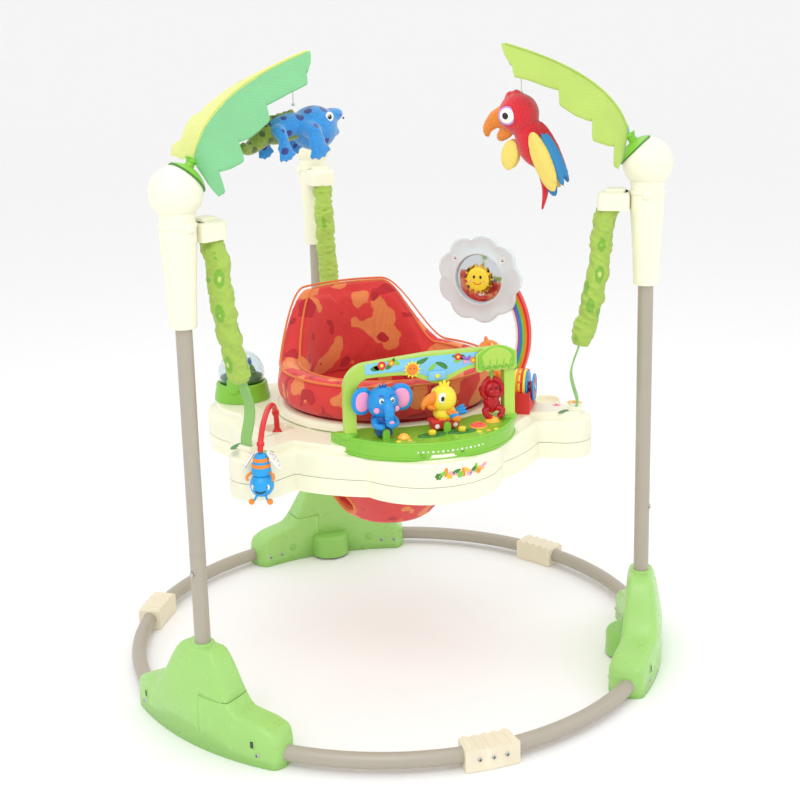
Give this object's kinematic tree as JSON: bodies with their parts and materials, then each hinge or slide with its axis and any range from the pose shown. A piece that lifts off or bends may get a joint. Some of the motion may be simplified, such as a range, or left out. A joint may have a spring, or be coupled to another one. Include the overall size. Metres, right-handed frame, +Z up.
{
  "type": "activity jumper",
  "caption": "Infant bouncing seat hung on springs from a ring-based frame, with a toy tray, a turning padded seat and overhead leaf toys.",
  "frame": {"origin": "centre of the floor ring, on the floor", "axes": "+Z up; -Y is the front, where the music console is; one post stands on +Y and the other two at 210 and 330 degrees"},
  "size_m": [0.8284, 0.8434, 0.9252],
  "materials": {
    "taupe_tube": "satin grey-brown paint",
    "bone_plastic": "matt moulded plastic",
    "apple_plastic": "light green moulded plastic",
    "bright_steel": "plated steel",
    "cream_plastic": "cream moulded plastic",
    "leaf_green_plastic": "green moulded plastic",
    "lime_plastic": "lime moulded plastic",
    "leaf_print_fabric": "ruched printed cloth",
    "strap_webbing": "woven webbing",
    "leaf_fabric": "quilted cloth leaf",
    "white_cord": "fine braided cord",
    "blue_plush": "short pile plush",
    "red_plush": "short pile plush",
    "seat_fabric": "padded red cloth with orange patches",
    "blue_plastic": "blue moulded plastic",
    "yellow_plastic": "yellow moulded plastic",
    "clear_red": "tinted clear plastic",
    "clear_bubble": "clear plastic",
    "red_plastic": "red moulded plastic",
    "cloud_plastic": "milky plastic",
    "orange_plastic": "orange moulded plastic"
  },
  "bodies": {
    "frame": {"base_tube_left": "taupe_tube", "base_tube_right": "taupe_tube", "base_tube_back": "taupe_tube", "ring_connectors": "bone_plastic", "foot_left": "apple_plastic", "foot_right": "apple_plastic", "foot_back": "apple_plastic", "foot_covers": "apple_plastic", "leg_lower_left": "taupe_tube", "leg_lower_right": "taupe_tube", "leg_lower_back": "taupe_tube", "leg_upper_left": "taupe_tube", "leg_upper_right": "taupe_tube", "leg_upper_back": "taupe_tube", "spring_housing_left": "cream_plastic", "spring_housing_right": "cream_plastic", "spring_housing_back": "cream_plastic", "top_cap_back": "leaf_green_plastic", "frame_screws": "bright_steel", "bounce_springs": "bright_steel", "spring_sleeves": "leaf_print_fabric"},
    "tray": {"hanger_straps": "strap_webbing", "tray_top": "cream_plastic", "tray_bottom": "cream_plastic", "seat_glides": "bone_plastic", "console_base": "leaf_green_plastic", "console_arch": "lime_plastic", "lamp_gems": "clear_red", "bubble_base": "leaf_green_plastic", "roller_box": "red_plastic", "cloud_mirror": "cloud_plastic", "rainbow_arm": "orange_plastic", "battery_door": "cream_plastic", "sound_unit": "bone_plastic"},
    "seat": {"seat_ring": "cream_plastic", "seat_lock_ring": "cream_plastic", "seat_fabric": "seat_fabric"},
    "leaf_left": {"top_cap_left": "leaf_green_plastic", "leaf_left": "leaf_fabric"},
    "leaf_right": {"top_cap_right": "leaf_green_plastic", "leaf_right": "leaf_fabric"},
    "lizard": {"lizard_cord": "white_cord", "lizard": "blue_plush"},
    "parrot": {"parrot_cord": "white_cord", "parrot": "red_plush"},
    "snap_button_left": {"snap_button_left": "bright_steel"},
    "snap_button_right": {"snap_button_right": "bright_steel"},
    "snap_button_back": {"snap_button_back": "bright_steel"},
    "elephant": {"elephant": "blue_plastic"},
    "bird": {"bird_rocker": "yellow_plastic"},
    "monkey": {"monkey": "clear_red"},
    "slider_left": {"slider_left": "yellow_plastic"},
    "slider_right": {"slider_right": "yellow_plastic"},
    "bubble": {"bubble": "clear_bubble", "bubble_toy": "leaf_green_plastic"},
    "roller": {"roller_drum": "blue_plastic"},
    "sun": {"sun_spinner": "yellow_plastic"},
    "tiger": {"tiger": "orange_plastic"},
    "bug": {"bug_stem": "red_plastic", "bug": "blue_plastic"}
  },
  "joints": [
    {"name": "bounce", "type": "slide", "parent": "frame", "child": "tray", "axis": [0, 0, 1], "range_m": [-0.08, 0.03], "stiffness_N_per_m": 1900, "springref_m": 0.02323, "deforming": ["bounce_springs", "spring_sleeves"]},
    {"name": "seat_turn", "type": "hinge", "parent": "tray", "child": "seat", "pos_m": [0, 0, 0.39], "axis": [0, 0, 1], "continuous": true},
    {"name": "leaf_swivel_left", "type": "hinge", "parent": "frame", "child": "leaf_left", "pos_m": [-0.33602, -0.194, 0.756], "axis": [0, 0, 1], "range_deg": [-15, 15]},
    {"name": "leaf_swivel_right", "type": "hinge", "parent": "frame", "child": "leaf_right", "pos_m": [0.33602, -0.194, 0.756], "axis": [0, 0, 1], "range_deg": [-15, 15]},
    {"name": "lizard_swing", "type": "hinge", "parent": "leaf_left", "child": "lizard", "pos_m": [-0.16333, -0.13789, 0.9128], "axis": [0.309, -0.9511, 0], "range_deg": [-8, 25]},
    {"name": "parrot_swing", "type": "hinge", "parent": "leaf_right", "child": "parrot", "pos_m": [0.18728, -0.08985, 0.9128], "axis": [0.5736, 0.8192, 0], "range_deg": [-20, 30]},
    {"name": "snap_press_left", "type": "slide", "parent": "frame", "child": "snap_button_left", "axis": [0.866, 0.5, 0], "range_m": [0, 0.0025], "stiffness_N_per_m": 600, "springref_m": -0.001},
    {"name": "snap_press_right", "type": "slide", "parent": "frame", "child": "snap_button_right", "axis": [-0.866, 0.5, 0], "range_m": [0, 0.0025], "stiffness_N_per_m": 600, "springref_m": -0.001},
    {"name": "snap_press_back", "type": "slide", "parent": "frame", "child": "snap_button_back", "axis": [0, -1, 0], "range_m": [0, 0.0025], "stiffness_N_per_m": 600, "springref_m": -0.001},
    {"name": "elephant_rock", "type": "hinge", "parent": "tray", "child": "elephant", "pos_m": [-0.072, -0.206, 0.413], "axis": [0, 1, 0], "range_deg": [-10, 10], "stiffness_Nm_per_rad": 0.6},
    {"name": "bird_rock", "type": "hinge", "parent": "tray", "child": "bird", "pos_m": [0.017, -0.206, 0.413], "axis": [0, 1, 0], "range_deg": [-8, 8], "stiffness_Nm_per_rad": 0.6},
    {"name": "monkey_swing", "type": "hinge", "parent": "tray", "child": "monkey", "pos_m": [0.0965, -0.186, 0.49], "axis": [1, 0, 0], "range_deg": [-25, 25]},
    {"name": "slider_left_move", "type": "slide", "parent": "tray", "child": "slider_left", "axis": [1, 0, 0], "range_m": [-0.006, 0.006]},
    {"name": "slider_right_move", "type": "slide", "parent": "tray", "child": "slider_right", "axis": [1, 0, 0], "range_m": [-0.006, 0.006]},
    {"name": "bubble_spin", "type": "hinge", "parent": "tray", "child": "bubble", "pos_m": [-0.20092, 0.116, 0.43], "axis": [0, 0, 1], "continuous": true},
    {"name": "roller_spin", "type": "hinge", "parent": "tray", "child": "roller", "pos_m": [0.17639, -0.11022, 0.423], "axis": [0.848, -0.5299, 0], "continuous": true},
    {"name": "sun_spin", "type": "hinge", "parent": "tray", "child": "sun", "pos_m": [0.20265, 0.117, 0.546], "axis": [-0.7071, -0.7071, 0], "continuous": true},
    {"name": "tiger_turn", "type": "hinge", "parent": "tray", "child": "tiger", "pos_m": [0.19687, 0.06397, 0.39], "axis": [0, 0, 1], "range_deg": [-40, 40]},
    {"name": "bug_turn", "type": "hinge", "parent": "tray", "child": "bug", "pos_m": [-0.19, -0.069, 0.39], "axis": [0, 0, 1], "range_deg": [0, 30]}
  ]
}
